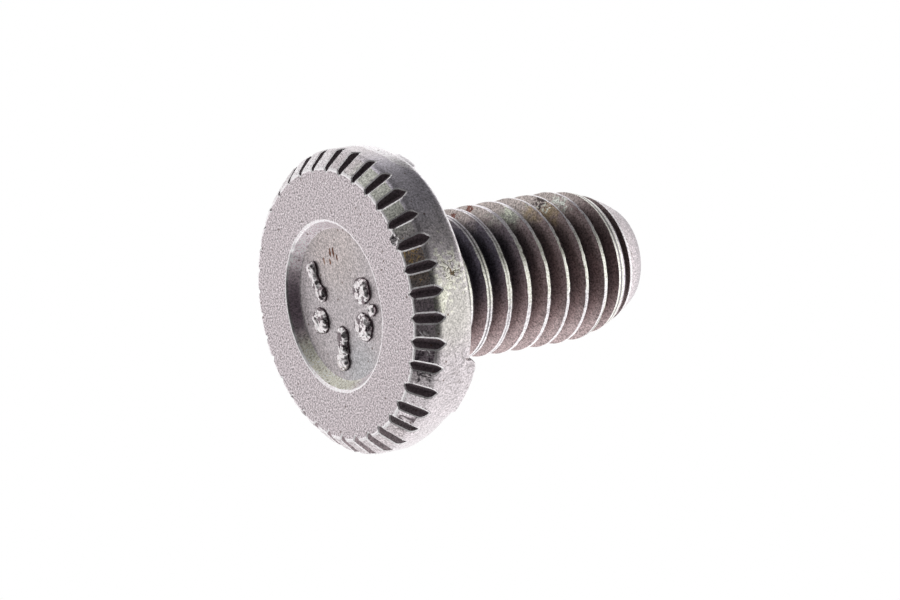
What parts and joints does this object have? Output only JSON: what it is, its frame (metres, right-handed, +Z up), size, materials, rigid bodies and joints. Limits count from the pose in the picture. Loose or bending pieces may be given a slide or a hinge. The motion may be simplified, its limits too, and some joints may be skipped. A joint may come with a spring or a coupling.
{
  "type": "weld stud",
  "caption": "Projection weld stud with a full metric thread, and a notched round head with a shallow recess in its flat face.",
  "frame": {"origin": "centre of the head's flat face, which the stud stands on", "axes": "+Z up the shank from the head's flat face to the tip; a shoulder notch lies along +X"},
  "size_m": [0.0156, 0.0156, 0.0181],
  "materials": {
    "bare_steel": "bare cold-headed steel, satin, with thread-rolling marks and light staining"
  },
  "bodies": {
    "root": {"weld_stud": "bare_steel"}
  },
  "joints": []
}
